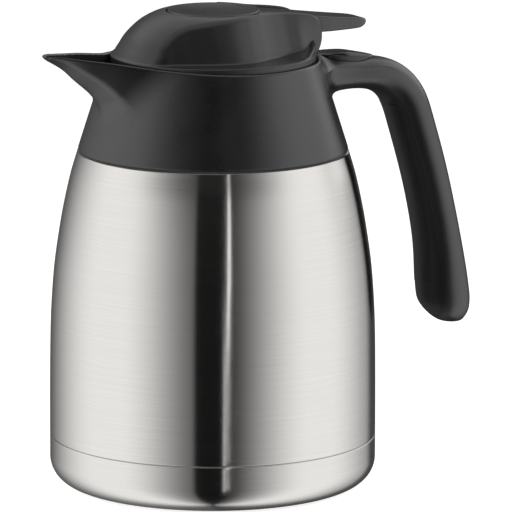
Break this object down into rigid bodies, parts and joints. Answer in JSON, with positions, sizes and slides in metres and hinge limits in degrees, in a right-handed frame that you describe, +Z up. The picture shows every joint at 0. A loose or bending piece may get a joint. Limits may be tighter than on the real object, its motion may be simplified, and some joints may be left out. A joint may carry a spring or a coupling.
{
  "type": "thermal carafe",
  "caption": "Squat double-wall steel vacuum carafe with a black spouted collar, an open hook handle and a screw-in stopper opened by a thumb lever.",
  "frame": {"origin": "on the body's axis, in the plane that the base stands on", "axes": "+Z up along the body's axis, +X from the axis towards the handle (the spout points to -X), +Y to the side"},
  "size_m": [0.1964, 0.1328, 0.1947],
  "materials": {
    "brushed_steel": "circumferentially brushed stainless steel",
    "plain_steel": "plain drawn stainless steel",
    "black_plastic": "black, finely textured satin",
    "gloss_black": "smooth black",
    "grey_plastic": "dark grey food-safe plastic",
    "soft_black": "matt black rubber",
    "clear_silicone": "milky silicone"
  },
  "bodies": {
    "carafe": {"outer_shell": "brushed_steel", "base_cup": "brushed_steel", "base_pad": "soft_black", "inner_vessel": "plain_steel", "evacuation_plug": "plain_steel", "getter": "plain_steel", "collar": "black_plastic", "collar_seal": "soft_black", "handle_cover": "black_plastic", "thumb_rest": "gloss_black", "neck_gasket": "clear_silicone", "neck_ring": "grey_plastic"},
    "stopper_seal": {"stopper_gasket": "clear_silicone"},
    "stopper": {"stopper_body": "grey_plastic", "stopper_crown": "black_plastic", "lever_pin": "plain_steel", "stem_seal": "clear_silicone", "valve_spring": "plain_steel"},
    "lever": {"pour_lever": "black_plastic"},
    "valve": {"valve_stem": "plain_steel", "stem_clip": "plain_steel", "valve_disc": "grey_plastic", "valve_gasket": "clear_silicone"}
  },
  "joints": [
    {"name": "stopper_rise", "type": "slide", "parent": "carafe", "child": "stopper_seal", "axis": [0, 0, 1], "range_m": [0, 0.0541]},
    {"name": "stopper_turn", "type": "hinge", "parent": "stopper_seal", "child": "stopper", "pos_m": [0, 0, 0.157], "axis": [0, 0, 1], "range_deg": [0, 720]},
    {"name": "lever_press", "type": "hinge", "parent": "stopper", "child": "lever", "pos_m": [0.027, 0, 0.1875], "axis": [0, 1, 0], "range_deg": [0, 8.5], "stiffness_Nm_per_rad": 0.22, "springref_deg": -14.32},
    {"name": "valve_lift", "type": "slide", "parent": "stopper", "child": "valve", "axis": [0, 0, 1], "range_m": [0, 0.0041], "deforming": ["valve_spring"]}
  ],
  "couplings": [
    {"joint": "stopper_rise", "follows": "stopper_turn", "m_per_rad": 0.0042972},
    {"joint": "valve_lift", "follows": "lever_press", "m_per_rad": 0.027}
  ]
}
